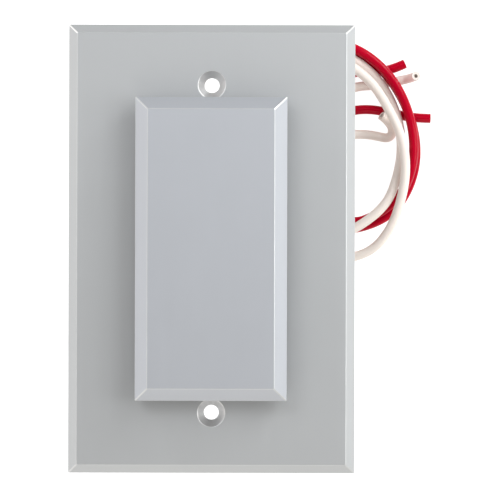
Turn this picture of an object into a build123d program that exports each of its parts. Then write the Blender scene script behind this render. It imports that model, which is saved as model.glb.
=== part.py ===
from build123d import *
from math import atan, cos, degrees, pi, radians, sin, tan
import os

os.makedirs("parts", exist_ok=True)

# A push plate switch on a single-gang face plate, lying face up as it does on a bench.
# +X is the plate's width, +Y its height on the wall, +Z the way it faces. Millimetres.
# The origin is on the surface that the bracket stands on, under the middle of the plate.

# Face plate
plate_height = 114.3
plate_width = 73.0
plate_thickness = 3.175
plate_bevel = 2.3
edge_break = 0.2
fixing_pitch = 83.3
fixing_hole_diameter = 3.8
fixing_sink_diameter = 7.0
sink_angle = 82
mechanism_depth = 30.0

# Push cap
cap_height = 76.2
cap_width = 38.1
cap_thickness = 6.35
cap_bevel = 3.175
cap_gap = 3.2
push_travel = 2.4

# Guide posts, bushes and return springs
post_diameter = 5.0
post_stub_diameter = 3.0
post_stub_length = 2.0
post_tail = 1.5
running_clearance = 0.05
bush_wall = 1.1
bush_flange_diameter = 11.0
bush_flange_thickness = 1.5
buffer_diameter = 9.6
buffer_thickness = 1.0
stop_clearance = 0.05
clip_diameter = 9.0
clip_thickness = 0.6
clip_groove_depth = 0.7
clip_mouth_share = 0.8
post_lead_in = 0.4
buffer_edge = 0.25
spring_pocket_depth = 3.2
spring_pocket_clearance = 0.5
spring_mean_diameter = 8.2
spring_wire = 0.55
spring_turns = 4

# Stem and bar that press the levers
stem_diameter = 5.0
stem_hole_clearance = 1.0
stem_stub_diameter = 4.0
stem_stub_length = 3.8
stem_rivet_diameter = 2.6
bar_length = 23.6
bar_nose_radius = 3.0
bar_top_clearance = 0.3
seat_clearance = 0.02

# Bracket
sheet = 1.5
bracket_length = 44.0
bracket_end_clearance = 1.5
bracket_bend = 2.0
bracket_corner = 3.0
window_corner = 1.0
window_clearance = 1.2
bracket_screw_pitch = 35.0

# Snap-action switches, one on each wall of the bracket, turned end for end
case_length = 27.8
case_height = 15.9
case_thickness = 10.3
case_gap = 8.0
case_top_drop = 7.0
case_edge = 0.4
case_parting_groove = 0.3
case_hole_pitch = 22.2
case_hole_height = 2.8
lever_reach = 18.0
lever_length = 22.0
lever_width = 4.4
lever_thickness = 0.6
lever_tip_corner = 1.76
hinge_rise = 1.6
hinge_end_distance = 1.5
pin_diameter = 1.5
knuckle_wall = 0.55
ear_thickness = 1.2
ear_radius = 1.4
ear_clearance = 0.2
plunger_reach = 7.0
plunger_diameter = 3.0
plunger_dome = 3.0
plunger_depth = 4.0
touch_clearance = 0.05

# Terminals, solder joints and the grommets in the bracket's right wall
tab_width = 4.8
tab_thickness = 0.8
tab_length = 5.9
tab_corner = 0.8
tab_hole_diameter = 1.7
tab_places = (-10.5, 2.5, 10.0)
solder_length = 1.4
solder_cone_length = 1.0
solder_foot_diameter = 3.4
wire_core_diameter = 1.2
lead_height = 3.9
outer_red_exit = 16.8
inner_red_exit = -8.0
grommet_hole_diameter = 5.0
grommet_flange_diameter = 6.4
grommet_flange_thickness = 0.7
grommet_clearance = 0.1

# Screws and nuts
screw_diameter = 3.0
screw_clearance = 0.2
screw_head_diameter = 5.6
screw_head_height = 2.0
screw_slot_width = 0.8
screw_slot_depth = 1.0
screw_tail = 0.8
screw_head_round = 0.7
screw_point = 0.3
nut_across_flats = 5.5
nut_thickness = 2.4
flat_head_diameter = 6.0
flat_head_angle = 90

# Leads
lead_diameter = 2.5

# Share of the shorter run that a lead's corner takes, the step between the points that
# gaps are measured on, and how many such steps apart a wire's own turns count
corner_share = 0.45
measuring_step = 0.5
turn_steps = 20

# Levels
plate_back = mechanism_depth
plate_front = plate_back + plate_thickness
cap_back = plate_front + cap_gap
pocket_floor = cap_back + spring_pocket_depth
case_top = plate_back - case_top_drop
case_bottom = case_top - case_height
hinge_height = case_top + hinge_rise
tab_tip = case_bottom - tab_length

# The lever lies flat when the cap is pressed home
lever_angle = degrees(atan(push_travel / lever_reach))
nose_centre = hinge_height + (
    lever_reach * sin(radians(lever_angle)) + bar_nose_radius + lever_thickness / 2 + touch_clearance
) / cos(radians(lever_angle))
bar_bottom = nose_centre - bar_nose_radius
bar_top = plate_back - bar_top_clearance
plunger_top = plunger_dome + hinge_height + (
    plunger_reach * sin(radians(lever_angle)) - plunger_dome - lever_thickness / 2 - touch_clearance
) / cos(radians(lever_angle))

# Places across the width, and along the height for the right-hand switch
case_near = case_gap / 2
case_far = case_near + case_thickness
case_middle = case_near + case_thickness / 2
wall_outside = case_far + sheet
case_centre = -lever_reach - hinge_end_distance + case_length / 2
post_pitch = bracket_length + bush_flange_diameter + 2 * bracket_end_clearance
post_places = [(0, -post_pitch / 2), (0, post_pitch / 2)]
bracket_screw_places = [(0, -bracket_screw_pitch / 2), (0, bracket_screw_pitch / 2)]
fixing_places = [(0, -fixing_pitch / 2), (0, fixing_pitch / 2)]
case_hole_places = [case_centre - case_hole_pitch / 2, case_centre + case_hole_pitch / 2]
case_hole_level = case_bottom + case_hole_height
common_tab = case_centre + tab_places[0]
spare_tab = case_centre + tab_places[1]
open_tab = case_centre + tab_places[2]
lead_exits = (outer_red_exit, open_tab, inner_red_exit, common_tab)

bush_bore = post_diameter + 2 * running_clearance
bush_diameter = bush_bore + 2 * bush_wall
pocket_diameter = spring_mean_diameter + spring_wire + 2 * spring_pocket_clearance
buffer_top = plate_back - bush_flange_thickness - stop_clearance
clip_top = buffer_top - buffer_thickness
post_end = clip_top - clip_thickness - post_tail
stem_hole_diameter = stem_diameter + 2 * stem_hole_clearance

# Both switches: the second is the first turned half a turn about the Z axis
sides = {"right": 0, "left": 180}


def half_turn(side, part):
    """The right-hand piece, or its copy on the left."""
    return part.rotate(Axis.Z, sides[side])


def points_along(path):
    """Points along a wire's middle line, a measuring step apart."""
    count = int(path.length / measuring_step)
    return [path @ (i / count) for i in range(count + 1)]


def least_gap(first, second, diameter):
    """The least gap between two wires' surfaces, or between one wire's own turns."""
    gaps = [
        (p - q).length - diameter
        for i, p in enumerate(first)
        for j, q in enumerate(second)
        if first is not second or j - i > turn_steps
    ]
    return min(gaps)


# Lead routes, as chosen points: out of the grommet, one loop past the plate's right
# edge, and back out to a cut end
left_start = -case_middle + tab_thickness / 2 + solder_length
right_start = case_middle + tab_thickness / 2 + solder_length

lead_routes = {
    "lead_red_outer": [
        (left_start, -common_tab, lead_height),
        (0.8, -common_tab, lead_height),
        (9.6, outer_red_exit, lead_height),
        (19.8, outer_red_exit, lead_height),
        (28.0, 12.6, 3.6),
        (36.4, 6.3, 3.8),
        (45.2, 9.8, 4.0),
        (51.0, 15.4, 5.1),
        (53.8, 23.2, 6.4),
        (53.7, 31.4, 7.2),
        (50.9, 40.2, 7.2),
        (46.2, 47.6, 7.2),
        (39.3, 53.2, 7.2),
        (31.2, 55.8, 6.6),
        (22.8, 55.6, 5.2),
        (14.6, 52.2, 3.6),
        (8.8, 46.0, 1.8),
        (6.8, 37.8, 1.3),
        (10.4, 30.2, 1.3),
        (18.4, 26.4, 1.3),
        (26.6, 29.4, 1.3),
        (32.6, 35.4, 1.3),
        (40.4, 37.9, 1.3),
        (48.6, 36.0, 1.3),
        (58.4, 35.4, 1.3),
    ],
    "lead_red_inner": [
        (left_start, -open_tab, lead_height),
        (-0.4, -open_tab, lead_height),
        (8.4, inner_red_exit, lead_height),
        (20.0, inner_red_exit, lead_height),
        (27.0, -3.4, 2.4),
        (32.8, 4.8, 1.4),
        (41.6, 6.2, 1.3),
        (48.4, 9.8, 1.5),
        (52.7, 16.4, 2.4),
        (54.6, 24.0, 3.4),
        (53.5, 32.0, 4.2),
        (50.4, 39.8, 4.2),
        (45.6, 46.8, 4.2),
        (38.6, 52.2, 4.2),
        (30.4, 54.2, 3.6),
        (22.2, 53.0, 2.2),
        (15.2, 48.8, 1.3),
        (11.8, 41.4, 1.3),
        (14.0, 33.6, 1.3),
        (20.8, 30.4, 1.3),
        (27.6, 35.0, 1.3),
        (31.8, 42.2, 1.3),
        (38.6, 47.0, 1.3),
        (46.4, 48.1, 1.3),
        (51.6, 50.0, 1.3),
    ],
    "lead_white_outer": [
        (right_start, open_tab, lead_height),
        (19.6, open_tab, lead_height),
        (26.8, 3.0, 5.0),
        (34.2, 3.6, 6.7),
        (41.2, 7.6, 7.1),
        (46.6, 12.6, 7.2),
        (49.2, 19.4, 6.8),
        (50.9, 26.8, 6.4),
        (49.8, 34.4, 6.4),
        (46.6, 42.0, 6.4),
        (41.2, 48.4, 6.4),
        (34.0, 52.2, 6.4),
        (25.8, 52.8, 5.8),
        (18.0, 49.8, 5.2),
        (13.2, 43.4, 4.6),
        (13.0, 35.6, 4.4),
        (18.0, 29.4, 4.4),
        (26.0, 27.6, 4.6),
        (33.2, 30.2, 2.8),
        (38.8, 31.2, 1.3),
        (42.0, 31.0, 1.3),
        (45.2, 30.7, 1.3),
        (46.9, 32.9, 2.7),
        (45.4, 36.3, 4.6),
    ],
    "lead_white_inner": [
        (right_start, common_tab, lead_height),
        (19.6, common_tab, lead_height),
        (27.0, -10.6, 3.9),
        (33.6, -3.0, 4.2),
        (42.3, -0.8, 5.6),
        (47.4, 5.4, 7.2),
        (50.1, 13.2, 8.8),
        (51.1, 21.4, 9.6),
        (50.0, 29.6, 9.4),
        (46.3, 37.2, 9.2),
        (41.7, 44.5, 9.2),
        (34.6, 49.8, 9.2),
        (26.4, 51.4, 8.8),
        (18.6, 48.4, 8.2),
        (14.2, 41.8, 7.6),
        (15.2, 34.4, 7.4),
        (21.0, 29.6, 7.4),
        (28.0, 31.2, 6.6),
        (32.0, 37.2, 4.8),
        (37.2, 42.4, 1.6),
        (43.8, 43.7, 1.3),
        (49.8, 45.0, 1.3),
        (53.3, 45.9, 2.2),
        (54.4, 46.2, 5.6),
    ],
}

# Face plate: a bevelled slab with sunk fixing holes, and under the cap the holes for
# the bushes, the stem and the bracket's screws
with BuildPart() as face_plate:
    with BuildSketch(Plane.XY.offset(plate_back)):
        Rectangle(plate_width, plate_height)
    extrude(amount=plate_thickness)
    chamfer(face_plate.faces().sort_by(Axis.Z)[-1].edges(), plate_bevel)
    fillet(face_plate.faces().sort_by(Axis.Z)[-1].edges(), edge_break)
    with Locations(Plane.XY.offset(plate_front)):
        with Locations(*fixing_places):
            CounterSinkHole(fixing_hole_diameter / 2, fixing_sink_diameter / 2, plate_thickness, sink_angle)
        with Locations(*bracket_screw_places):
            CounterSinkHole(
                screw_diameter / 2 + screw_clearance, flat_head_diameter / 2, plate_thickness,
                flat_head_angle,
            )
        with Locations(*post_places):
            Hole(bush_diameter / 2 + seat_clearance, plate_thickness)
        Hole(stem_hole_diameter / 2, plate_thickness)

# Push cap: a thick bevelled bar with pockets in its back for the return springs
with BuildPart() as push_cap:
    with BuildSketch(Plane.XY.offset(cap_back)):
        Rectangle(cap_width, cap_height)
    extrude(amount=cap_thickness)
    chamfer(push_cap.faces().sort_by(Axis.Z)[-1].edges(), cap_bevel)
    fillet(push_cap.faces().sort_by(Axis.Z)[-1].edges(), edge_break)
    with BuildSketch(Plane.XY.offset(cap_back)):
        with Locations(*post_places):
            Circle(pocket_diameter / 2)
    extrude(amount=spring_pocket_depth, mode=Mode.SUBTRACT)
    with BuildSketch(Plane.XY.offset(pocket_floor)):
        with Locations(*post_places):
            Circle(post_stub_diameter / 2 + seat_clearance)
    extrude(amount=post_stub_length, mode=Mode.SUBTRACT)
    with BuildSketch(Plane.XY.offset(cap_back)):
        Circle(stem_stub_diameter / 2 + seat_clearance)
    extrude(amount=stem_stub_length, mode=Mode.SUBTRACT)


def make_post(place):
    """A guide post: a stub in the cap, a ground shank and a groove for its clip."""
    groove_radius = post_diameter / 2 - clip_groove_depth
    with BuildPart() as post:
        with BuildSketch(Plane.XY.offset(post_end)):
            with Locations(place):
                Circle(post_diameter / 2)
        extrude(amount=pocket_floor - post_end)
        chamfer(post.faces().sort_by(Axis.Z)[0].edges(), post_lead_in)
        with BuildSketch(Plane.XY.offset(pocket_floor)):
            with Locations(place):
                Circle(post_stub_diameter / 2)
        extrude(amount=post_stub_length - seat_clearance)
        with BuildSketch(Plane.XY.offset(clip_top - clip_thickness)):
            with Locations(place):
                Circle(post_diameter)
                Circle(groove_radius, mode=Mode.SUBTRACT)
        extrude(amount=clip_thickness, mode=Mode.SUBTRACT)
    return post.part


def make_bush(place):
    """A flanged bush pressed into the plate from behind."""
    with BuildPart() as bush:
        with BuildSketch(Plane.XY.offset(plate_back - bush_flange_thickness)):
            with Locations(place):
                Circle(bush_flange_diameter / 2)
        extrude(amount=bush_flange_thickness)
        with BuildSketch(Plane.XY.offset(plate_back)):
            with Locations(place):
                Circle(bush_diameter / 2)
        extrude(amount=plate_thickness)
        with BuildSketch(Plane.XY.offset(plate_back - bush_flange_thickness)):
            with Locations(place):
                Circle(bush_bore / 2)
        extrude(amount=bush_flange_thickness + plate_thickness, mode=Mode.SUBTRACT)
    return bush.part


def make_buffer(place):
    """The soft washer that meets the bush when the cap springs back."""
    with BuildPart() as buffer:
        with BuildSketch(Plane.XY.offset(clip_top)):
            with Locations(place):
                Circle(buffer_diameter / 2)
                Circle(post_diameter / 2 + seat_clearance, mode=Mode.SUBTRACT)
        extrude(amount=buffer_thickness)
        fillet(buffer.edges().filter_by(GeomType.CIRCLE).group_by(SortBy.RADIUS)[-1], buffer_edge)
    return buffer.part


def make_clip(place):
    """An open retaining ring in the post's groove, gripping it on three sides."""
    x, y = place
    inner_radius = post_diameter / 2 - clip_groove_depth + seat_clearance
    with BuildPart() as clip:
        with BuildSketch(Plane.XY.offset(clip_top - clip_thickness)):
            with Locations(place):
                Circle(clip_diameter / 2)
                Circle(inner_radius, mode=Mode.SUBTRACT)
            with Locations((x + clip_diameter / 2, y)):
                Rectangle(clip_diameter, 2 * clip_mouth_share * inner_radius, mode=Mode.SUBTRACT)
        extrude(amount=clip_thickness)
    return clip.part


def biarc(start, along_start, finish, along_finish):
    """Two tangent arcs from one point and direction to another."""
    across = finish - start
    both = along_start + along_finish
    spread = 2 * (1 - along_start.dot(along_finish))
    middle_part = across.dot(both)
    reach = ((middle_part**2 + spread * across.dot(across)) ** 0.5 - middle_part) / spread
    corner = start + along_start * reach
    other_corner = finish - along_finish * reach
    meeting = (corner + other_corner) / 2
    TangentArc(start, meeting, tangent=along_start)
    TangentArc(meeting, finish, tangent=other_corner - corner)


def make_spring(place):
    """A return spring whose first and last quarter turns lie flat on plate and cap."""
    radius = spring_mean_diameter / 2
    lowest = plate_front + spring_wire / 2 + seat_clearance
    rise = pocket_floor - spring_wire / 2 - seat_clearance - lowest
    quarters = round(4 * spring_turns)
    # Slope at each quarter turn: none at a flat end, even between them
    slopes = [0 if i < 2 or i > quarters - 2 else 1 for i in range(quarters + 1)]
    shares = [(a + b) / 2 for a, b in zip(slopes, slopes[1:])]
    steepness = rise / (sum(shares) * pi / 2 * radius)
    heights = [lowest + rise * sum(shares[:i]) / sum(shares) for i in range(quarters + 1)]
    points = []
    directions = []
    for i, (slope, height) in enumerate(zip(slopes, heights)):
        turned = i * pi / 2
        points.append(Vector(place[0] + radius * cos(turned), place[1] + radius * sin(turned), height))
        directions.append(Vector(-sin(turned), cos(turned), slope * steepness).normalized())
    with BuildPart() as spring:
        with BuildLine() as path:
            for i in range(quarters):
                biarc(points[i], directions[i], points[i + 1], directions[i + 1])
        middle_line = path.wire()
        with BuildSketch(Plane(origin=middle_line @ 0, z_dir=middle_line % 0)):
            Circle(spring_wire / 2)
        sweep(path=middle_line)
    swept = pi * spring_wire**2 / 4 * middle_line.length
    turns = points_along(middle_line)
    gap = least_gap(turns, turns, spring_wire)
    print(f"spring volume {spring.part.volume:.2f} of {swept:.2f}, least gap {gap:.2f}")
    return spring.part


ends = {"lower": post_places[0], "upper": post_places[1]}
pieces = {"face_plate": face_plate.part, "push_cap": push_cap.part}
for end, place in ends.items():
    pieces["guide_post_" + end] = make_post(place)
    pieces["guide_bush_" + end] = make_bush(place)
    pieces["stop_buffer_" + end] = make_buffer(place)
    pieces["retaining_clip_" + end] = make_clip(place)
    pieces["return_spring_" + end] = make_spring(place)

# Stem: screwed into the back of the cap, riveted over into the bar
with BuildPart() as actuator_stem:
    with BuildSketch(Plane.XY.offset(bar_top)):
        Circle(stem_diameter / 2)
    extrude(amount=cap_back - bar_top)
    with BuildSketch(Plane.XY.offset(cap_back)):
        Circle(stem_stub_diameter / 2)
    extrude(amount=stem_stub_length - seat_clearance)
    with BuildSketch(Plane.XY.offset(bar_top)):
        Circle(stem_rivet_diameter / 2)
    extrude(amount=bar_bottom - bar_top)
pieces["actuator_stem"] = actuator_stem.part

# Bar: a D-shaped bar whose round side presses both levers
with BuildPart() as actuator_bar:
    with BuildSketch(Plane.YZ.offset(-bar_length / 2)):
        with Locations((0, nose_centre)):
            Circle(bar_nose_radius)
        with Locations((0, bar_top)):
            Rectangle(
                2 * bar_nose_radius, 2 * bar_nose_radius, align=(Align.CENTER, Align.MIN),
                mode=Mode.SUBTRACT,
            )
    extrude(amount=bar_length)
    with BuildSketch(Plane.XY.offset(bar_bottom)):
        Circle(stem_rivet_diameter / 2 + seat_clearance)
    extrude(amount=bar_top - bar_bottom, mode=Mode.SUBTRACT)
pieces["actuator_bar"] = actuator_bar.part

# Bracket: one folded sheet with a wall for each switch and a window for the bar
with BuildPart() as switch_bracket:
    with BuildSketch(Plane.XZ.offset(-bracket_length / 2)):
        with Locations((0, plate_back / 2)):
            Rectangle(2 * wall_outside, plate_back)
        with Locations((0, (plate_back - sheet) / 2)):
            Rectangle(2 * case_far, plate_back - sheet, mode=Mode.SUBTRACT)
    extrude(amount=bracket_length)
    bends = switch_bracket.edges().filter_by(Axis.Y)
    fillet(bends.group_by(Axis.Z)[-1], bracket_bend)
    foot_corners = switch_bracket.edges().filter_by(Axis.X).group_by(Axis.Z)[0]
    fillet(foot_corners, bracket_corner)
    with BuildSketch(Plane.XY.offset(plate_back)) as window:
        Rectangle(bar_length + 2 * window_clearance, 2 * (bar_nose_radius + window_clearance))
        fillet(window.vertices(), window_corner)
    extrude(amount=-sheet, mode=Mode.SUBTRACT)
    with BuildSketch(Plane.XY.offset(plate_back)):
        with Locations(*bracket_screw_places):
            Circle(screw_diameter / 2 + screw_clearance)
    extrude(amount=-sheet, mode=Mode.SUBTRACT)
    with BuildSketch(Plane.YZ.offset(case_far)):
        with Locations(*[(y, case_hole_level) for y in case_hole_places]):
            Circle(screw_diameter / 2 + screw_clearance)
        with Locations(*[(y, lead_height) for y in lead_exits]):
            Circle(grommet_hole_diameter / 2)
    extrude(amount=sheet, mode=Mode.SUBTRACT)
    with BuildSketch(Plane.YZ.offset(-case_far)):
        with Locations(*[(-y, case_hole_level) for y in case_hole_places]):
            Circle(screw_diameter / 2 + screw_clearance)
    extrude(amount=-sheet, mode=Mode.SUBTRACT)
pieces["switch_bracket"] = switch_bracket.part

# Right-hand switch case, with its parting groove, plunger bore and hinge ears
with BuildPart() as switch_case:
    with BuildSketch(Plane.YZ.offset(case_near)):
        with Locations((case_centre, (case_top + case_bottom) / 2)):
            RectangleRounded(case_length, case_height, 2 * case_edge)
    extrude(amount=case_thickness)
    with BuildSketch(Plane.YZ.offset(case_middle - case_parting_groove / 2)):
        with Locations((case_centre, (case_top + case_bottom) / 2)):
            Rectangle(2 * case_length, 2 * case_height)
            RectangleRounded(
                case_length - 2 * case_parting_groove,
                case_height - 2 * case_parting_groove,
                case_edge,
                mode=Mode.SUBTRACT,
            )
    extrude(amount=case_parting_groove, mode=Mode.SUBTRACT)
    ear_offset = lever_width / 2 + ear_clearance
    for ear_side in (case_middle - ear_offset - ear_thickness, case_middle + ear_offset):
        with BuildSketch(Plane.YZ.offset(ear_side)):
            with Locations((-lever_reach, hinge_height)):
                Circle(ear_radius)
            with Locations((-lever_reach, case_top)):
                Rectangle(2 * ear_radius, hinge_rise, align=(Align.CENTER, Align.MIN))
            with Locations((-lever_reach, hinge_height)):
                Circle(pin_diameter / 2 + seat_clearance, mode=Mode.SUBTRACT)
        extrude(amount=ear_thickness)
    with BuildSketch(Plane.YZ.offset(case_near)):
        with Locations(*[(y, case_hole_level) for y in case_hole_places]):
            Circle(screw_diameter / 2 + screw_clearance)
    extrude(amount=case_thickness, mode=Mode.SUBTRACT)
    with BuildSketch(Plane.XY.offset(case_top)):
        with Locations((case_middle, plunger_reach - lever_reach)):
            Circle(plunger_diameter / 2 + running_clearance)
    extrude(amount=-plunger_depth - push_travel, mode=Mode.SUBTRACT)

# Right-hand hinge pin, across both ears
with BuildPart() as lever_pin:
    with BuildSketch(Plane.YZ.offset(case_middle - ear_offset - ear_thickness)):
        with Locations((-lever_reach, hinge_height)):
            Circle(pin_diameter / 2)
    extrude(amount=2 * (ear_offset + ear_thickness))

# Right-hand lever at rest: a strip rising from its knuckle, narrowed to a round tip
with BuildPart() as switch_lever:
    hinge_plane = Plane(
        origin=(case_middle, -lever_reach, hinge_height), x_dir=(1, 0, 0),
        z_dir=(0, -sin(radians(lever_angle)), cos(radians(lever_angle))),
    )
    with BuildSketch(hinge_plane.offset(-lever_thickness / 2)):
        with Locations((0, lever_length / 2)):
            Rectangle(lever_width, lever_length)
    extrude(amount=lever_thickness)
    tip_corners = switch_lever.edges().filter_by(lambda edge: abs(edge.length - lever_thickness) < 1e-4)
    fillet(tip_corners.sort_by(Axis.Y)[-2:], lever_tip_corner)
    with BuildSketch(Plane.YZ.offset(case_middle - lever_width / 2)):
        with Locations((-lever_reach, hinge_height)):
            Circle(pin_diameter / 2 + knuckle_wall)
    extrude(amount=lever_width)
    with BuildSketch(Plane.YZ.offset(case_middle - lever_width / 2)):
        with Locations((-lever_reach, hinge_height)):
            Circle(pin_diameter / 2 + running_clearance)
    extrude(amount=lever_width, mode=Mode.SUBTRACT)

# Right-hand plunger, domed where the lever bears on it
with BuildPart() as switch_plunger:
    plunger_radius = plunger_diameter / 2
    dome_drop = plunger_dome - (plunger_dome**2 - plunger_radius**2) ** 0.5
    plunger_side = case_middle + plunger_radius
    plunger_foot = case_top - plunger_depth
    with BuildSketch(Plane.XZ.offset(lever_reach - plunger_reach)):
        with BuildLine():
            Polyline(
                (case_middle, plunger_top), (case_middle, plunger_foot),
                (plunger_side, plunger_foot), (plunger_side, plunger_top - dome_drop),
            )
            RadiusArc((plunger_side, plunger_top - dome_drop), (case_middle, plunger_top), -plunger_dome)
        make_face()
    revolve(axis=Axis((case_middle, plunger_reach - lever_reach, 0), (0, 0, 1)))


def make_terminals():
    """The right-hand switch's blades: common, normally closed and normally open."""
    with BuildPart() as terminals:
        with BuildSketch(Plane.YZ.offset(case_middle - tab_thickness / 2)):
            for place in (common_tab, spare_tab, open_tab):
                with Locations((place, tab_tip)):
                    Rectangle(tab_width, tab_length, align=(Align.CENTER, Align.MIN))
        extrude(amount=tab_thickness)
        tip_corners = terminals.edges().filter_by(Axis.X).group_by(Axis.Z)[0]
        chamfer(tip_corners, tab_corner)
        with BuildSketch(Plane.YZ.offset(case_middle - tab_thickness / 2)):
            for place in (common_tab, spare_tab, open_tab):
                with Locations((place, lead_height)):
                    Circle(tab_hole_diameter / 2)
        extrude(amount=tab_thickness, mode=Mode.SUBTRACT)
    return terminals.part


terminals = make_terminals()
for side in sides:
    pieces["switch_case_" + side] = half_turn(side, switch_case.part)
    pieces["switch_lever_" + side] = half_turn(side, switch_lever.part)
    pieces["switch_plunger_" + side] = half_turn(side, switch_plunger.part)
    pieces["switch_terminals_" + side] = half_turn(side, terminals)

# Hinge pins of both levers
with BuildPart() as lever_pins:
    for side in sides:
        add(half_turn(side, lever_pin.part))
pieces["lever_pins"] = lever_pins.part

# Pan-head screw through the right wall and case, in line with X
with BuildPart() as case_screw:
    with BuildSketch(Plane.YZ.offset(wall_outside)):
        Circle(screw_head_diameter / 2)
    extrude(amount=screw_head_height)
    fillet(case_screw.edges().filter_by(GeomType.CIRCLE).sort_by(Axis.X)[-1], screw_head_round)
    with BuildSketch(Plane.YZ.offset(wall_outside + screw_head_height - screw_slot_depth)):
        Rectangle(screw_slot_width, 2 * screw_head_diameter)
    extrude(amount=screw_slot_depth, mode=Mode.SUBTRACT)
    with BuildSketch(Plane.YZ.offset(wall_outside)):
        Circle(screw_diameter / 2)
    extrude(amount=case_near - nut_thickness - screw_tail - wall_outside)
    chamfer(case_screw.edges().filter_by(GeomType.CIRCLE).sort_by(Axis.X)[0], screw_point)

with BuildPart() as case_nut:
    with BuildSketch(Plane.YZ.offset(case_near - nut_thickness)):
        RegularPolygon(nut_across_flats / 2, 6, major_radius=False)
        Circle(screw_diameter / 2 + seat_clearance, mode=Mode.SUBTRACT)
    extrude(amount=nut_thickness)

# Four of each, two to a switch
with BuildPart() as switch_screws:
    for side in sides:
        for y in case_hole_places:
            add(half_turn(side, Pos(0, y, case_hole_level) * case_screw.part))
pieces["switch_screws"] = switch_screws.part

with BuildPart() as switch_nuts:
    for side in sides:
        for y in case_hole_places:
            add(half_turn(side, Pos(0, y, case_hole_level) * case_nut.part))
pieces["switch_nuts"] = switch_nuts.part

# Flat-head screws through the plate and the bracket, under the cap
with BuildPart() as bracket_screws:
    head_drop = (flat_head_diameter - screw_diameter) / 2 / tan(radians(flat_head_angle / 2))
    shank = plate_thickness + sheet + nut_thickness + screw_tail
    with Locations(*[(x, y, plate_front) for x, y in bracket_screw_places]):
        Cone(
            screw_diameter / 2, flat_head_diameter / 2, head_drop,
            align=(Align.CENTER, Align.CENTER, Align.MAX),
        )
        Cylinder(screw_diameter / 2, shank, align=(Align.CENTER, Align.CENTER, Align.MAX))
    with BuildSketch(Plane.XY.offset(plate_front)):
        with Locations(*bracket_screw_places):
            Rectangle(flat_head_diameter, screw_slot_width)
    extrude(amount=-screw_slot_depth, mode=Mode.SUBTRACT)
pieces["bracket_screws"] = bracket_screws.part

with BuildPart() as bracket_nuts:
    with BuildSketch(Plane.XY.offset(plate_back - sheet)):
        with Locations(*bracket_screw_places):
            RegularPolygon(nut_across_flats / 2, 6, major_radius=False)
            Circle(screw_diameter / 2 + seat_clearance, mode=Mode.SUBTRACT)
    extrude(amount=-nut_thickness)
pieces["bracket_nuts"] = bracket_nuts.part

# Solder joints: a cone on each wired blade, and the tinned strands into the lead
with BuildPart() as solder_joints:
    joints = [(1, common_tab), (1, open_tab), (-1, -common_tab), (-1, -open_tab)]
    for hand, y in joints:
        with Locations(Plane((hand * case_middle + tab_thickness / 2, y, lead_height), z_dir=(1, 0, 0))):
            Cone(
                solder_foot_diameter / 2, wire_core_diameter / 2, solder_cone_length,
                align=(Align.CENTER, Align.CENTER, Align.MIN),
            )
            Cylinder(
                wire_core_diameter / 2, solder_length, align=(Align.CENTER, Align.CENTER, Align.MIN)
            )
pieces["solder_joints"] = solder_joints.part

# Grommets in the right wall, flanged outside
with BuildPart() as lead_grommets:
    with BuildSketch(Plane.YZ.offset(case_far)):
        with Locations(*[(y, lead_height) for y in lead_exits]):
            Circle(grommet_hole_diameter / 2)
    extrude(amount=sheet)
    with BuildSketch(Plane.YZ.offset(wall_outside)):
        with Locations(*[(y, lead_height) for y in lead_exits]):
            Circle(grommet_flange_diameter / 2)
    extrude(amount=grommet_flange_thickness)
    with BuildSketch(Plane.YZ.offset(case_far)):
        with Locations(*[(y, lead_height) for y in lead_exits]):
            Circle(lead_diameter / 2 + grommet_clearance)
    extrude(amount=sheet + grommet_flange_thickness, mode=Mode.SUBTRACT)
pieces["lead_grommets"] = lead_grommets.part


def corner_radii(route):
    """Each corner's arc, as large as its shorter run allows."""
    radii = []
    for before, point, after in zip(route, route[1:], route[2:]):
        arriving = Vector(point) - Vector(before)
        leaving = Vector(after) - Vector(point)
        half = radians(arriving.get_angle(leaving)) / 2
        radii.append(corner_share * min(arriving.length, leaving.length) / tan(half))
    return radii


def make_lead(route):
    """An insulated lead: straight runs joined by tangent arcs."""
    radii = corner_radii(route)
    with BuildPart() as lead:
        with BuildLine() as path:
            FilletPolyline(*route, radius=radii)
        middle_line = path.wire()
        with BuildSketch(Plane(origin=middle_line @ 0, z_dir=middle_line % 0)):
            Circle(lead_diameter / 2)
        sweep(path=middle_line)
    section = pi * lead_diameter**2 / 4
    swept = section * middle_line.length
    print(f"length {middle_line.length:.1f}, volume {lead.part.volume:.1f} of {swept:.1f}")
    print("radii", [round(radius, 1) for radius in radii])
    return lead.part, middle_line


paths = {}
for name, route in lead_routes.items():
    pieces[name], paths[name] = make_lead(route)

middle_lines = {name: points_along(path) for name, path in paths.items()}
names = list(middle_lines)
for i, first in enumerate(names):
    for second in names[i:]:
        gap = least_gap(middle_lines[first], middle_lines[second], lead_diameter)
        print(f"least gap {first} to {second}: {gap:.2f}")

for name, part in pieces.items():
    part.label = name
    export_step(part, f"parts/{name}.step")
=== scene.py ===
from math import cos, pi, radians, sin, tan

import bmesh
import bpy
from mathutils import Matrix, Vector


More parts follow.
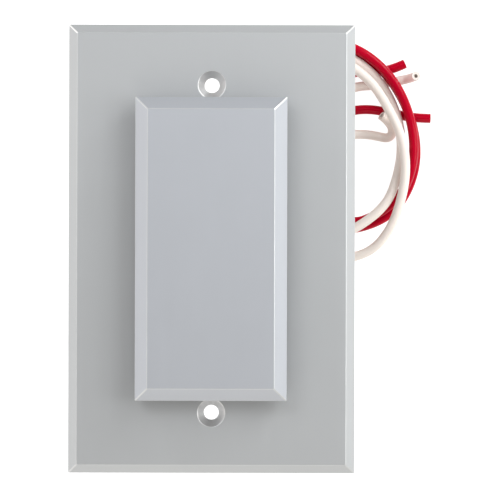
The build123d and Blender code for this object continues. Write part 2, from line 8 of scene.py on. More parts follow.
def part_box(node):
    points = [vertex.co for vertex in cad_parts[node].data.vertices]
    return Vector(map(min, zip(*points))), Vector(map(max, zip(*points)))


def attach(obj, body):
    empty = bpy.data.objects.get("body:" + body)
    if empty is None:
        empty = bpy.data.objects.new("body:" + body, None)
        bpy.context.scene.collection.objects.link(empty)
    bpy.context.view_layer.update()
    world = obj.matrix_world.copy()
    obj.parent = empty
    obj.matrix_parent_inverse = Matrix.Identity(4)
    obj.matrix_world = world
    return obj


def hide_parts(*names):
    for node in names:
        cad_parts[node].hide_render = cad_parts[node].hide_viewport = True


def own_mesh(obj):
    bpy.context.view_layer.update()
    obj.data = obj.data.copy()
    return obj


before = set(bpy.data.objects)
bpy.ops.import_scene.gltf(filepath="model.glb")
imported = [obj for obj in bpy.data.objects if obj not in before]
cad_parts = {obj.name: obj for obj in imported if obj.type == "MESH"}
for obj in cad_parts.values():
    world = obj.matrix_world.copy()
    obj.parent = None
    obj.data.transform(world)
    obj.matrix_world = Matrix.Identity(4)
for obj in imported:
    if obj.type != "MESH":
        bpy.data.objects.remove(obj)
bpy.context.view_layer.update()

bl_info = {
    "name": "Door push plate switch",
    "version": (1, 0, 0),
    "blender": (4, 5, 0),
    "location": "3D View > Sidebar > Push Switch",
    "description": "A push plate switch on a bevelled single-gang plate, with its leads, finishes and studio",
    "category": "Add Mesh",
}

# Places that the frame gives, in metres. The guide posts stand below and above the middle
PLATE_LOW, PLATE_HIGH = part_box("face_plate")
CAP_LOW, CAP_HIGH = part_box("push_cap")
SPRING_LOW, SPRING_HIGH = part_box("return_spring_upper")
POST_Y = (SPRING_LOW.y + SPRING_HIGH.y) / 2

# Sunk holes in the plate, a pair of each kind, in metres and degrees
FIXING_HOLES = {"y": 0.04165, "radius": 0.0019, "sink_radius": 0.0035, "half_angle": 41}
BRACKET_SCREW_HOLES = {"y": 0.0175, "radius": 0.0017, "sink_radius": 0.0030, "half_angle": 45}

# Straight holes in the plate, in metres
BUSH_HOLE_RADIUS = 0.003672
STEM_HOLE_RADIUS = 0.0035

# How far a cutter reaches past the faces it cuts, in metres, and the usual number of its sides
CUTTER_MARGIN = 0.001
HOLE_SIDES = 64

# A face gets the painted highlight of a mitre where its normal leans more than this sideways, up and to the
# front
MITRE_SLANT = 0.1

MM_PER_METRE = 1000

# Lead routes, in millimetres: the solids' routes, moved a little so that the leads lie as they are seen
LEAD_START_LEFT = -7.35
LEAD_START_RIGHT = 10.95
LEAD_ROUTES = {
    "lead_red_outer": [
        (LEAD_START_LEFT, 16.1, 3.9), (0.8, 16.1, 3.9), (9.6, 16.8, 3.9), (19.8, 16.8, 3.9),
        (28.0, 12.6, 3.6), (36.4, 6.3, 3.8), (45.2, 9.8, 4.0), (51.0, 15.4, 5.1),
        (53.5, 23.2, 6.4), (53.4, 31.4, 7.2), (50.9, 40.2, 7.2), (46.2, 47.6, 7.2),
        (39.3, 53.2, 7.2), (31.2, 55.8, 6.6), (22.8, 55.6, 5.2), (14.6, 52.2, 3.6),
        (8.8, 46.0, 1.8), (6.8, 37.8, 1.3), (10.4, 30.2, 1.3), (18.4, 26.4, 1.3),
        (26.6, 29.4, 1.3), (32.4, 36.4, 1.3), (40.4, 38.1, 1.3), (48.0, 36.9, 1.3),
        (53.2, 35.5, 1.3), (58.3, 35.4, 1.3),
    ],
    "lead_red_inner": [
        (LEAD_START_LEFT, -4.4, 3.9), (-0.4, -4.4, 3.9), (8.4, -8.0, 3.9), (20.0, -8.0, 3.9),
        (27.0, -3.4, 2.4), (32.8, 4.8, 1.4), (41.6, 6.2, 1.3), (48.4, 9.8, 1.5),
        (52.7, 16.4, 2.4), (54.6, 24.0, 3.4), (53.9, 32.2, 4.2), (50.9, 40.2, 4.2),
        (46.2, 47.4, 4.2), (39.0, 53.0, 4.2), (30.8, 55.2, 3.6), (22.2, 53.0, 2.2),
        (15.2, 48.8, 1.3), (11.8, 41.4, 1.3), (14.0, 33.6, 1.3), (20.8, 30.4, 1.3),
        (27.6, 35.0, 1.3), (31.2, 43.4, 1.3), (37.6, 48.4, 1.3), (45.4, 47.4, 1.3),
        (51.4, 50.1, 1.3),
    ],
    "lead_white_outer": [
        (LEAD_START_RIGHT, 4.4, 3.9), (19.6, 4.4, 3.9), (26.8, 3.0, 5.0), (34.2, 3.6, 6.7),
        (41.2, 7.6, 7.1), (46.6, 12.6, 7.2), (49.1, 19.4, 6.8), (50.4, 26.7, 6.4),
        (49.6, 34.5, 5.5), (46.6, 42.1, 4.8), (41.3, 48.5, 5.4), (34.2, 52.6, 6.0),
        (25.8, 53.1, 5.7), (18.0, 49.8, 5.2), (13.2, 43.4, 4.6), (13.0, 35.6, 4.4),
        (18.0, 29.4, 4.4), (26.0, 27.6, 4.6), (33.2, 30.2, 2.8), (38.6, 31.2, 1.3),
        (43.0, 30.8, 1.3), (47.7, 29.7, 1.3), (48.4, 33.5, 2.8), (45.0, 35.9, 4.5),
    ],
    "lead_white_inner": [
        (LEAD_START_RIGHT, -16.1, 3.9), (19.6, -16.1, 3.9), (27.0, -10.6, 3.9), (33.6, -3.0, 4.2),
        (42.3, -0.8, 5.6), (47.4, 5.4, 7.2), (50.1, 13.2, 8.8), (51.3, 21.4, 9.6),
        (50.3, 29.7, 9.4), (46.65, 37.4, 9.2), (41.95, 44.8, 9.2), (34.7, 50.2, 9.2),
        (26.4, 51.4, 8.8), (18.6, 48.4, 8.2), (14.2, 41.8, 7.6), (15.2, 34.4, 7.4),
        (21.0, 29.6, 7.4), (28.0, 31.2, 6.6), (31.6, 37.8, 4.8), (36.4, 43.8, 1.6),
        (43.8, 44.3, 1.3), (49.2, 45.4, 1.3), (52.9, 46.1, 2.2), (54.1, 46.45, 5.6),
    ],
}

# Which solids of the frame have which finish
FRAME_FINISHES = {
    "bright_steel": [
        "guide_post_lower", "guide_post_upper", "actuator_stem", "actuator_bar", "lever_pins",
    ],
    "natural_nylon": ["guide_bush_lower", "guide_bush_upper"],
    "black_rubber": ["stop_buffer_lower", "stop_buffer_upper", "lead_grommets"],
    "spring_steel": [
        "retaining_clip_lower", "retaining_clip_upper", "switch_lever_right", "switch_lever_left",
    ],
    "plated_sheet": ["switch_bracket"],
    "plated_fasteners": ["switch_screws", "switch_nuts", "bracket_screws", "bracket_nuts"],
    "black_moulding": ["switch_case_right", "switch_case_left"],
    "grey_moulding": ["switch_plunger_right", "switch_plunger_left"],
    "brass_blades": ["switch_terminals_right", "switch_terminals_left"],
    "solder": ["solder_joints"],
}


class Value:
    """A number that varies over a surface. Arithmetic on it adds Math nodes."""

    def __init__(self, nodes, socket):
        self.nodes = nodes
        self.socket = socket

    def maths(self, operation, first, second):
        return self.nodes.node("ShaderNodeMath", {"operation": operation}, {0: first, 1: second})

    def __add__(self, other):
        return self.maths("ADD", self, other)

    def __radd__(self, other):
        return self.maths("ADD", other, self)

    def __sub__(self, other):
        return self.maths("SUBTRACT", self, other)

    def __rsub__(self, other):
        return self.maths("SUBTRACT", other, self)

    def __mul__(self, other):
        return self.maths("MULTIPLY", self, other)

    def __rmul__(self, other):
        return self.maths("MULTIPLY", other, self)

    def above(self, least):
        """This value, or the least one where it would fall below that."""
        return self.maths("MAXIMUM", self, least)


class Nodes:
    """A node tree under construction, emptied first."""

    def __init__(self, tree):
        self.tree = tree
        self.tree.nodes.clear()

    def feed(self, socket, value):
        if isinstance(value, Value):
            self.tree.links.new(value.socket, socket)
        else:
            socket.default_value = value

    def node(self, kind, settings, sockets, output=0):
        """A node, set first and then fed, and one of its outputs."""
        made = self.tree.nodes.new(kind)
        for name, value in settings.items():
            setattr(made, name, value)
        for name, value in sockets.items():
            self.feed(made.inputs[name], value)
        return Value(self, made.outputs[output])


# The frame's own plain materials have the slots' names, so the finishes made here start with this
FINISH_PREFIX = "finish_"


class Finish(Nodes):
    """A finish under construction: a Principled shader and the nodes that feed it."""

    def __init__(self, name):
        material = bpy.data.materials.new(FINISH_PREFIX + name)
        material.use_nodes = True
        super().__init__(material.node_tree)
        self.shader = self.tree.nodes.new("ShaderNodeBsdfPrincipled")
        output = self.tree.nodes.new("ShaderNodeOutputMaterial")
        self.tree.links.new(self.shader.outputs["BSDF"], output.inputs["Surface"])
        self.place = self.node("ShaderNodeTexCoord", {}, {}, output="Object")

    def noise(self, scale, detail=2.0):
        """Noise from 0 to 1. The scale is grains to the metre, one number or one for each axis."""
        if not isinstance(scale, tuple):
            scale = (scale, scale, scale)
        stretched = self.node("ShaderNodeMapping", {}, {"Vector": self.place, "Scale": scale})
        return self.node("ShaderNodeTexNoise", {}, {"Vector": stretched, "Scale": 1.0, "Detail": detail})

    def mixed(self, share, first, second):
        """A colour between two others."""
        return self.node(
            "ShaderNodeMix", {"data_type": "RGBA"}, {0: share, 6: first, 7: second}, output=2,
        )

    def uneven(self, share, colour, spread):
        """A colour that goes a little darker and a little lighter."""
        return self.mixed(share, shaded(colour, 1 - spread), shaded(colour, 1 + spread))

    def bump(self, height, strength, distance):
        return self.node(
            "ShaderNodeBump", {}, {"Height": height, "Strength": strength, "Distance": distance},
        )

    def surface(self, **sockets):
        """Feeds the shader's sockets, named in small letters with low lines for spaces."""
        for name, value in sockets.items():
            socket = self.shader.inputs[name.replace("_", " ").title().replace("Ior", "IOR")]
            self.feed(socket, value)


def shaded(colour, factor):
    """A colour made darker or lighter."""
    return (colour[0] * factor, colour[1] * factor, colour[2] * factor, 1.0)


def spread_round(middle, share, spread):
    """A number that goes from half a spread below its middle to half above, as the share goes from 0 to 1."""
    return middle - spread / 2 + share * spread


def satin_aluminium(name, colour, roughness, tone_spread=0.045):
    """Clear anodised aluminium, brushed up and down the plate."""
    finish = Finish(name)
    fine = finish.noise((5200, 55, 5200), detail=3.0)
    broad = finish.noise((620, 9, 620), detail=2.0)
    mottle = finish.noise(85, detail=1.0)
    main_share = 0.75
    grain = fine * main_share + broad * (1 - main_share)
    tone = grain * main_share + mottle * (1 - main_share)
    finish.surface(
        base_color=finish.uneven(tone, colour, tone_spread),
        metallic=1.0,
        roughness=spread_round(roughness, grain, spread=0.12),
        normal=finish.bump(grain, strength=0.12, distance=0.00002),
    )


def plain_metal(name, colour, roughness, cloud_scale, tone_spread=0.12):
    """Plated, ground or rolled metal, its colour and gloss a little uneven."""
    finish = Finish(name)
    cloud = finish.noise(cloud_scale, detail=3.0)
    grain = finish.noise(6000, detail=2.0)
    finish.surface(
        base_color=finish.uneven(cloud, colour, tone_spread),
        metallic=1.0,
        roughness=spread_round(roughness, cloud, spread=0.16),
        normal=finish.bump(grain, strength=0.15, distance=0.00002),
    )


def moulded(name, colour, roughness):
    """Moulded plastic or rubber, with a fine texture from its mould."""
    finish = Finish(name)
    cloud = finish.noise(140, detail=2.0)
    texture = finish.noise(4200, detail=2.0)
    finish.surface(
        base_color=finish.uneven(cloud, colour, spread=0.1),
        roughness=spread_round(roughness, texture, spread=0.1),
        normal=finish.bump(texture, strength=0.3, distance=0.00003),
    )


def insulation(name, colour, darkest, roughness, shine):
    """Extruded lead covering: smooth, faintly uneven in colour and surface."""
    finish = Finish(name)
    cloud = finish.noise(95, detail=2.0)
    lines = finish.noise(900, detail=2.0)
    finish.surface(
        base_color=finish.mixed(cloud, shaded(colour, darkest), shaded(colour, 1)),
        roughness=spread_round(roughness, lines, spread=0.1),
        specular_ior_level=shine,
        normal=finish.bump(lines, strength=0.15, distance=0.00004),
    )


def build_finishes(look):
    """Makes the switch's finishes. Those of the frame's own solids have the names of their slots."""
    satin_aluminium("satin_aluminium", look.aluminium, look.aluminium_roughness)
    satin_aluminium("cap_aluminium", look.cap_aluminium, look.aluminium_roughness)
    # Painted highlight: the rounded edges get a finish lighter than the plate and cap
    satin_aluminium("painted_highlight_edges", (0.60, 0.61, 0.615), roughness=0.52, tone_spread=0.03)
    # Painted highlight: the mitres that face up and to the side get a lighter, glossier finish still
    satin_aluminium("painted_highlight_mitres", (0.86, 0.86, 0.86), roughness=0.32, tone_spread=0.03)
    plain_metal("turned_sinks", (0.72, 0.72, 0.72), roughness=0.42, cloud_scale=900, tone_spread=0.04)
    plain_metal("bright_steel", (0.62, 0.62, 0.63), roughness=0.22, cloud_scale=260)
    moulded("natural_nylon", (0.80, 0.77, 0.68), roughness=0.45)
    moulded("black_rubber", (0.022, 0.022, 0.023), roughness=0.7)
    plain_metal("spring_steel", (0.55, 0.55, 0.56), roughness=0.28, cloud_scale=320)
    plain_metal("plated_sheet", (0.58, 0.60, 0.59), roughness=0.42, cloud_scale=110)
    plain_metal("plated_fasteners", (0.64, 0.65, 0.62), roughness=0.32, cloud_scale=240)
    moulded("black_moulding", (0.03, 0.03, 0.033), roughness=0.5)
    moulded("grey_moulding", (0.42, 0.42, 0.41), roughness=0.4)
    plain_metal("brass_blades", (0.78, 0.60, 0.28), roughness=0.35, cloud_scale=300)
    plain_metal("solder", (0.68, 0.68, 0.70), roughness=0.25, cloud_scale=900)
    insulation("red_insulation", look.red, darkest=0.88, roughness=0.2, shine=0.1)
    insulation("white_insulation", look.white, darkest=0.95, roughness=0.4, shine=0.2)
    moulded("red_cut", shaded(look.red, 0.9), roughness=0.6)
    moulded("white_cut", shaded(look.white, 0.8), roughness=0.6)
    plain_metal("copper_strands", (0.40, 0.20, 0.11), roughness=0.45, cloud_scale=900)


def finish_named(name):
    return bpy.data.materials[FINISH_PREFIX + name]


def new_piece(name, mesh, finish, body):
    """A mesh or curve as an object of the scene, finished and riding on a body."""
    piece = bpy.data.objects.new(name, mesh)
    bpy.context.scene.collection.objects.link(piece)
    mesh.materials.append(finish_named(finish))
    if body:
        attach(piece, body)
    return piece


def mesh_from(shape, name):
    """A mesh made of a bmesh, which is freed."""
    mesh = bpy.data.meshes.new(name)
    shape.to_mesh(mesh)
    shape.free()
    return mesh


def pair_at(y):
    """The places of two like holes, below and above the middle."""
    return [(0, -y), (0, y)]


def bevelled_slab(low, high, bevel, mitre):
    """A rectangular slab, its front edges cut at 45 degrees and the mitres between the cuts flattened."""
    shape = bmesh.new()
    bmesh.ops.create_cube(shape, size=1.0)
    size = high - low
    middle = (low + high) / 2
    bmesh.ops.scale(shape, vec=size, verts=shape.verts)
    bmesh.ops.translate(shape, vec=middle, verts=shape.verts)
    front = [edge for edge in shape.edges if all(vert.co.z > middle.z for vert in edge.verts)]
    bmesh.ops.bevel(
        shape, geom=front, offset=bevel, affect="EDGES", segments=1, profile=0.5, material=-1,
    )
    mitres = [
        edge for edge in shape.edges
        if min(abs(part) for part in edge.verts[0].co - edge.verts[1].co) > bevel / 2
    ]
    bmesh.ops.bevel(
        shape, geom=mitres, offset=mitre, affect="EDGES", segments=1, profile=0.5, material=-1,
    )
    return shape


def cutter(places, low, high, low_radius, high_radius, sides=HOLE_SIDES):
    """Round cutters, straight or tapered, one at each place."""
    shape = bmesh.new()
    for x, y in places:
        bmesh.ops.create_cone(
            shape, cap_ends=True, cap_tris=False, segments=sides, radius1=low_radius,
            radius2=high_radius, depth=high - low,
            matrix=Matrix.Translation((x, y, (low + high) / 2)),
        )
    return mesh_from(shape, "cutter")


def final_mesh(piece):
    """Leaves a piece only the mesh that its modifiers make of it."""
    bpy.context.view_layer.update()
    evaluated = piece.evaluated_get(bpy.context.evaluated_depsgraph_get())
    mesh = bpy.data.meshes.new_from_object(evaluated)
    piece.modifiers.clear()
    piece.data = mesh


def cut_from(piece, cutters):
    """Cuts the shapes out of a piece and leaves only its final mesh."""
    for mesh in cutters:
        tool = bpy.data.objects.new("cutter", mesh)
        bpy.context.scene.collection.objects.link(tool)
        cut = piece.modifiers.new("Cut", "BOOLEAN")
        cut.operation = "DIFFERENCE"
        cut.solver = "EXACT"
        cut.object = tool
        final_mesh(piece)
        bpy.data.objects.remove(tool)


def refinish(piece, finish, picked):
    """Gives the faces that a test picks a finish of their own."""
    piece.data.materials.append(finish_named(finish))
    for face in piece.data.polygons:
        if picked(face):
            face.material_index = len(piece.data.materials) - 1


def break_edges(piece, width, bright):
    """Rounds the sharp edges of a piece. The rounds get a lighter finish, a painted highlight, and the faces
    whose normals the test picks get a stronger painted highlight.
    """
    # The rounds get a lighter finish: a painted highlight
    piece.data.materials.append(finish_named("painted_highlight_edges"))
    bevel = piece.modifiers.new("Edges", "BEVEL")
    bevel.width = width
    bevel.segments = 3
    bevel.limit_method = "ANGLE"
    bevel.angle_limit = radians(25)
    bevel.material = len(piece.data.materials) - 1
    bevel.harden_normals = True
    for face in piece.data.polygons:
        face.use_smooth = True
    final_mesh(piece)
    # The picked faces get a lighter finish still: a painted highlight on the mitres
    refinish(piece, "painted_highlight_mitres", lambda face: bright(face.normal))


def line_of(route):
    """A curve with one smooth spline through the route, in metres."""
    curve = bpy.data.curves.new("line", "CURVE")
    curve.dimensions = "3D"
    spline = curve.splines.new("NURBS")
    spline.points.add(len(route) - 1)
    for point, (x, y, z) in zip(spline.points, route):
        point.co = (x / MM_PER_METRE, y / MM_PER_METRE, z / MM_PER_METRE, 1)
    spline.order_u = 3
    spline.use_endpoint_u = True
    spline.resolution_u = 12
    return curve


def cut_end(point, outward, radius):
    """A cut end: the ring of insulation round its bore, and the strands deep in it."""
    lip = 0.00008
    bore_radius = 0.00052
    bore_depth = 0.0026
    ring_sides = 28
    facing = Matrix.Translation(point) @ outward.to_track_quat("Z", "Y").to_matrix().to_4x4()
    face = bmesh.new()
    bmesh.ops.create_circle(face, cap_ends=True, segments=ring_sides, radius=radius)
    middle = face.faces[:]
    size = radius
    for next_radius, rise in [(radius - lip, lip), (bore_radius, 0), (bore_radius, -bore_depth)]:
        middle = bmesh.ops.extrude_discrete_faces(face, faces=middle)["faces"]
        share = next_radius / size
        bmesh.ops.scale(face, vec=(share, share, 1), verts=middle[0].verts)
        bmesh.ops.translate(face, vec=(0, 0, rise), verts=middle[0].verts)
        size = next_radius
    bmesh.ops.transform(face, matrix=facing, verts=face.verts)
    strand_radius = 0.00016
    strand_drop = 0.0016
    strand_length = bore_depth - strand_drop
    strand_sides = 10
    outer_strands = 6
    step = 2 * pi / outer_strands
    places = [(0, 0)] + [
        (2 * strand_radius * cos(i * step), 2 * strand_radius * sin(i * step))
        for i in range(outer_strands)
    ]
    strands = bmesh.new()
    for x, y in places:
        bmesh.ops.create_cone(
            strands, cap_ends=True, segments=strand_sides, radius1=strand_radius,
            radius2=strand_radius, depth=strand_length,
            matrix=facing @ Matrix.Translation((x, y, -strand_drop - strand_length / 2)),
        )
    return mesh_from(face, "cut_face"), mesh_from(strands, "strands")


# Light that comes from the studio's walls and ceiling, in red, green and blue
STUDIO_WALLS = {
    "right": (0.38, 0.375, 0.365),
    "left": (1.64, 1.59, 1.55),
    "upper": (0.075, 0.075, 0.075),
    "lower": (1.31, 1.26, 1.18),
    "ceiling": (0.045, 0.045, 0.045),
}

# Soft square lights: name, place in metres, power and colour. All have one width and one aim
LIGHT_WIDTH = 0.36
LIGHT_AIM = Vector((0.0, 0.0, 0.03))
STUDIO_LIGHTS = [
    ("right_side", (0.736, 0.0, 0.455), 2.05, (1.0, 1.0, 0.98)),
    ("right_above", (0.546, 0.0, 0.681), 1.02, (0.98, 1.0, 1.03)),
    ("upper_right_side", (0.521, 0.521, 0.455), 3.55, (0.99, 1.0, 1.0)),
    ("upper_right", (0.386, 0.386, 0.681), 0.90, (0.98, 1.0, 1.03)),
    ("upper_middle", (0.0, 0.359, 0.8), 0.39, (0.98, 1.0, 1.03)),
    ("upper_left", (-0.386, 0.386, 0.681), 1.58, (0.98, 1.0, 1.03)),
    ("lower_middle", (0.0, -0.546, 0.681), 0.68, (1.0, 0.985, 0.955)),
    ("low_upper_right", (0.565, 0.565, 0.321), 0.35, (1.0, 1.0, 1.0)),
    ("low_upper_left", (-0.565, 0.565, 0.321), 0.45, (1.0, 1.0, 1.0)),
]

# The floor is a lit white table: how far it reaches from the middle, and the light it gives of itself
FLOOR_REACH = 3.0
FLOOR_GLOW = 0.92

# The colour of the floor's glow, and of what shows past its far edge
WHITE = (1.0, 1.0, 1.0, 1.0)


def studio_world(walls):
    """A soft surround, each way as bright as its wall and smooth between."""
    world = bpy.data.worlds.new("studio")
    world.use_nodes = True
    nodes = Nodes(world.node_tree)
    direction = nodes.node("ShaderNodeTexCoord", {}, {}, output="Generated")
    shares = []
    for axis, ahead, behind in ((0, "right", "left"), (1, "upper", "lower"), (2, "ceiling", "ceiling")):
        part = nodes.node("ShaderNodeSeparateXYZ", {}, {0: direction}, output=axis)
        forward = part.above(0.0)
        backward = (0.0 - part).above(0.0)
        shares += [(forward * forward, walls[ahead]), (backward * backward, walls[behind])]
    channels = [
        sum(share * wall[channel] for share, wall in shares) for channel in range(3)
    ]
    light = nodes.node("ShaderNodeCombineColor", {}, dict(enumerate(channels)))
    lighting = nodes.node("ShaderNodeBackground", {}, {"Color": light, "Strength": 1.0})
    backdrop = nodes.node("ShaderNodeBackground", {}, {"Color": WHITE, "Strength": 1.0})
    seen = nodes.node("ShaderNodeLightPath", {}, {}, output="Is Camera Ray")
    surround = nodes.node("ShaderNodeMixShader", {}, {0: seen, 1: lighting, 2: backdrop})
    output = nodes.tree.nodes.new("ShaderNodeOutputWorld")
    nodes.feed(output.inputs["Surface"], surround)
    return world


class SwitchSizes(bpy.types.PropertyGroup):
    """Sizes that a user would change."""

    plate_bevel: bpy.props.FloatProperty(
        name="Plate Bevel", description="Width of the cut along the plate's front edges",
        default=0.0023, unit="LENGTH",
    )
    cap_bevel: bpy.props.FloatProperty(
        name="Cap Bevel", description="Width of the cut along the cap's front edges",
        default=0.003175, unit="LENGTH",
    )
    edge_round: bpy.props.FloatProperty(
        name="Edge Round", description="Width of the broken edges of plate and cap",
        default=0.0001, unit="LENGTH",
    )
    mitre_flat: bpy.props.FloatProperty(
        name="Mitre Flat", description="How far the flat on each mitre reaches down its two bevels",
        default=0.00014, unit="LENGTH",
    )
    lead_diameter: bpy.props.FloatProperty(
        name="Lead Diameter", description="Outside diameter of a lead", default=0.0025, unit="LENGTH",
    )
    camera_height: bpy.props.FloatProperty(
        name="Camera Height", description="Height of the camera above the plate's outline",
        default=0.5, unit="LENGTH",
    )
    view_width: bpy.props.FloatProperty(
        name="View Width", description="Width that the photograph shows at the plate's outline",
        default=0.1275, unit="LENGTH",
    )


class SwitchLook(bpy.types.PropertyGroup):
    """Colours and gloss that a user would change."""

    aluminium: bpy.props.FloatVectorProperty(
        name="Aluminium", description="Colour of the anodised plate", subtype="COLOR",
        size=3, min=0, max=1, default=(0.503, 0.515, 0.523),
    )
    cap_aluminium: bpy.props.FloatVectorProperty(
        name="Cap Aluminium", description="Colour of the anodised cap", subtype="COLOR",
        size=3, min=0, max=1, default=(0.503, 0.521, 0.553),
    )
    aluminium_roughness: bpy.props.FloatProperty(
        name="Aluminium Roughness", description="How satin the plate and cap are",
        default=0.60, min=0, max=1,
    )
    red: bpy.props.FloatVectorProperty(
        name="Red", description="Colour of the red leads", subtype="COLOR",
        size=3, min=0, max=1, default=(0.455, 0.0004, 0.017),
    )
    white: bpy.props.FloatVectorProperty(
        name="White", description="Colour of the white leads", subtype="COLOR",
        size=3, min=0, max=1, default=(0.85, 0.77, 0.71),
    )


class SWITCH_OT_camera(bpy.types.Operator):
    """Place the camera straight above, as the photograph was taken"""

    bl_idname = "switch.camera"
    bl_label = "Camera"

    def execute(self, context):
        sizes = context.scene.switch_sizes
        data = bpy.data.cameras.new("camera")
        data.sensor_width = 36.0
        data.lens = data.sensor_width * sizes.camera_height / sizes.view_width
        data.clip_start = 0.01
        data.clip_end = 10.0
        camera = bpy.data.objects.new("camera", data)
        context.scene.collection.objects.link(camera)
        aim_x = 0.00977
        aim_y = -0.00026
        turn = radians(0.15)
        outline_height = PLATE_HIGH.z - sizes.plate_bevel
        camera.location = (aim_x, aim_y, outline_height + sizes.camera_height)
        camera.rotation_euler = (0, 0, turn)
        context.scene.camera = camera
        return {"FINISHED"}


class SWITCH_OT_finishes(bpy.types.Operator):
    """Make the finishes and put them on the frame's own solids"""

    bl_idname = "switch.finishes"
    bl_label = "Finishes"

    def execute(self, context):
        build_finishes(context.scene.switch_look)
        for finish, names in FRAME_FINISHES.items():
            for name in names:
                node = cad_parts[name]
                node.data.materials.clear()
                node.data.materials.append(finish_named(finish))
        return {"FINISHED"}


class SWITCH_OT_leads(bpy.types.Operator):
    """Lay the four leads and cut their ends"""

    bl_idname = "switch.leads"
    bl_label = "Leads"

    def execute(self, context):
        diameter = context.scene.switch_sizes.lead_diameter
        for name, route in LEAD_ROUTES.items():
            shade = "red" if "red" in name else "white"
            covering = shade + "_insulation"
            curve = line_of(route)
            curve.bevel_depth = diameter / 2
            curve.bevel_resolution = 6
            lead = new_piece(name + "_run", curve, covering, "base")
            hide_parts(name)
            points = [Vector(place) / MM_PER_METRE for place in route]
            for end, point, before in (("cut", points[-1], points[-2]), ("solder", points[0], points[1])):
                face, strands = cut_end(point, point - before, diameter / 2)
                new_piece(name + "_" + end + "_face", face, shade + "_cut", "base")
                new_piece(name + "_" + end + "_strands", strands, "copper_strands", "base")
        return {"FINISHED"}


class SWITCH_OT_plate(bpy.types.Operator):
    """Make the face plate with its bevels, sunk fixing holes and mechanism holes"""

    bl_idname = "switch.plate"
    bl_label = "Face Plate"

    def execute(self, context):
        sizes = context.scene.switch_sizes
        slab = bevelled_slab(PLATE_LOW, PLATE_HIGH, sizes.plate_bevel, sizes.mitre_flat)
        plate = new_piece(
            "plate_front", mesh_from(slab, "plate_front"), "satin_aluminium", "base",
        )
        front = PLATE_HIGH.z
        through = (PLATE_LOW.z - CUTTER_MARGIN, front + CUTTER_MARGIN)
        cutters = []
        for holes in (FIXING_HOLES, BRACKET_SCREW_HOLES):
            places = pair_at(holes["y"])
            radius = holes["radius"]
            cutters.append(cutter(places, *through, radius, radius))
            slope = tan(radians(holes["half_angle"]))
            deep = (holes["sink_radius"] - radius) / slope
            wide = holes["sink_radius"] + CUTTER_MARGIN * slope
            cutters.append(cutter(places, front - deep, front + CUTTER_MARGIN, radius, wide))
        cutters.append(cutter(pair_at(POST_Y), *through, BUSH_HOLE_RADIUS, BUSH_HOLE_RADIUS))
        cutters.append(cutter([(0, 0)], *through, STEM_HOLE_RADIUS, STEM_HOLE_RADIUS))
        cut_from(plate, cutters)
        # Painted highlight on the plate's rounded edges, and a lighter one on its two upper mitres
        break_edges(
            plate, sizes.edge_round,
            lambda normal: min(abs(normal.x), normal.y, normal.z) > MITRE_SLANT,
        )
        rim = 0.0002
        upright = 0.05
        level = 0.999

        def in_a_sink(face):
            reach = Vector((face.center.x, abs(face.center.y) - FIXING_HOLES["y"])).length
            return reach < FIXING_HOLES["sink_radius"] + rim and upright < face.normal.z < level

        refinish(plate, "turned_sinks", in_a_sink)
        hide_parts("face_plate")
        return {"FINISHED"}


class SWITCH_OT_cap(bpy.types.Operator):
    """Make the push cap with its bevels and its spring pockets"""

    bl_idname = "switch.cap"
    bl_label = "Push Cap"

    def execute(self, context):
        sizes = context.scene.switch_sizes
        slab = bevelled_slab(CAP_LOW, CAP_HIGH, sizes.cap_bevel, sizes.mitre_flat)
        cap = new_piece(
            "cap_front", mesh_from(slab, "cap_front"), "cap_aluminium", "push_button",
        )
        below = CAP_LOW.z - CUTTER_MARGIN
        pocket_radius = 0.004875
        pocket_depth = 0.0032
        socket_radius = 0.00202
        socket_depth = 0.0038
        socket_sides = 48
        cut_from(cap, [
            cutter(pair_at(POST_Y), below, CAP_LOW.z + pocket_depth, pocket_radius, pocket_radius),
            cutter([(0, 0)], below, CAP_LOW.z + socket_depth, socket_radius, socket_radius, socket_sides),
        ])
        # Painted highlight on the cap's rounded edges, and a lighter one on its upper right mitre
        break_edges(
            cap, sizes.edge_round, lambda normal: min(normal.x, normal.y, normal.z) > MITRE_SLANT,
        )
        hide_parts("push_cap")
        return {"FINISHED"}


class SWITCH_OT_springs(bpy.types.Operator):
    """Coil the two return springs"""

    bl_idname = "switch.springs"
    bl_label = "Return Springs"

    def execute(self, context):
        wire = 0.00055
        mean_radius = 0.0041
        turns = 4
        steps = 24
        flat_steps = steps // 4
        low = PLATE_HIGH.z + wire / 2
        rise = SPRING_HIGH.z - wire / 2 - low
        for end, middle_y in (("lower", -POST_Y), ("upper", POST_Y)):
            count = turns * steps
            curve = bpy.data.curves.new("coil", "CURVE")
            curve.dimensions = "3D"
            spline = curve.splines.new("NURBS")
            spline.points.add(count)
            for i, point in enumerate(spline.points):
                turned = 2 * pi * i / steps
                share = min(max((i - flat_steps) / (count - 2 * flat_steps), 0), 1)
                point.co = (
                    mean_radius * cos(turned), middle_y + mean_radius * sin(turned), low + rise * share, 1,
                )
            spline.order_u = 4
            spline.use_endpoint_u = True
            curve.bevel_depth = wire / 2
            curve.bevel_resolution = 3
            curve.use_fill_caps = True
            line = bpy.data.objects.new("coil", curve)
            context.scene.collection.objects.link(line)
            context.view_layer.update()
            mesh = bpy.data.meshes.new_from_object(line.evaluated_get(context.evaluated_depsgraph_get()))
            bpy.data.objects.remove(line)
            mesh.materials.clear()
            coil = new_piece("coil_" + end, mesh, "spring_steel", "base")
            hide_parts("return_spring_" + end)
            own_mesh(coil)
        return {"FINISHED"}


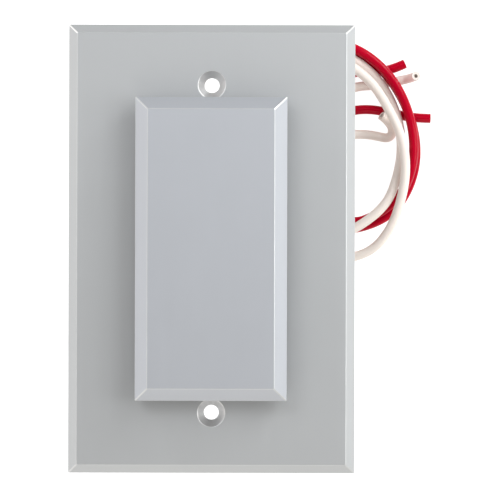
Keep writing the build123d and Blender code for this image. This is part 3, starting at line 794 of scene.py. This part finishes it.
class SWITCH_OT_stage(bpy.types.Operator):
    """Lay a white floor and set soft lights round the switch"""

    bl_idname = "switch.stage"
    bl_label = "Stage"

    def execute(self, context):
        floor_shape = bmesh.new()
        bmesh.ops.create_grid(floor_shape, x_segments=1, y_segments=1, size=FLOOR_REACH)
        finish = Finish("floor_white")
        speck = finish.noise(300, detail=1.0)
        finish.surface(
            base_color=finish.mixed(speck, (0.33, 0.33, 0.33, 1), (0.37, 0.37, 0.37, 1)),
            roughness=0.9,
            emission_color=WHITE,
            emission_strength=FLOOR_GLOW,
        )
        floor = new_piece("floor", mesh_from(floor_shape, "floor"), "floor_white", None)
        context.scene.world = studio_world(STUDIO_WALLS)
        for name, place, power, colour in STUDIO_LIGHTS:
            data = bpy.data.lights.new(name, "AREA")
            data.shape = "SQUARE"
            data.size = LIGHT_WIDTH
            data.energy = power
            data.color = colour
            light = bpy.data.objects.new(name, data)
            light.location = place
            light.rotation_euler = (LIGHT_AIM - Vector(place)).to_track_quat("-Z", "Y").to_euler()
            context.scene.collection.objects.link(light)
        context.scene.view_settings.view_transform = "Standard"
        context.scene.view_settings.look = "None"
        return {"FINISHED"}


OPERATORS = (
    SWITCH_OT_camera,
    SWITCH_OT_finishes,
    SWITCH_OT_leads,
    SWITCH_OT_plate,
    SWITCH_OT_cap,
    SWITCH_OT_springs,
    SWITCH_OT_stage,
)


class SWITCH_PT_panel(bpy.types.Panel):
    """The pieces of the push switch, in the order they are made"""

    bl_idname = "SWITCH_PT_panel"
    bl_label = "Push Switch"
    bl_space_type = "VIEW_3D"
    bl_region_type = "UI"
    bl_category = "Push Switch"

    def draw(self, context):
        layout = self.layout
        for group in (context.scene.switch_sizes, context.scene.switch_look):
            for name in group.bl_rna.properties.keys():
                if name not in ("rna_type", "name"):
                    layout.prop(group, name)
        for operator in OPERATORS:
            layout.operator(operator.bl_idname)


CLASSES = (SwitchSizes, SwitchLook, *OPERATORS, SWITCH_PT_panel)


def register():
    for item in CLASSES:
        bpy.utils.register_class(item)
    bpy.types.Scene.switch_sizes = bpy.props.PointerProperty(type=SwitchSizes)
    bpy.types.Scene.switch_look = bpy.props.PointerProperty(type=SwitchLook)


def unregister():
    del bpy.types.Scene.switch_look
    del bpy.types.Scene.switch_sizes
    for item in reversed(CLASSES):
        bpy.utils.unregister_class(item)


def main():
    register()
    bpy.ops.switch.camera()
    bpy.ops.switch.finishes()
    bpy.ops.switch.leads()
    bpy.ops.switch.plate()
    bpy.ops.switch.cap()
    bpy.ops.switch.springs()
    bpy.ops.switch.stage()
    bpy.context.view_layer.update()


if __name__ == "__main__":
    main()
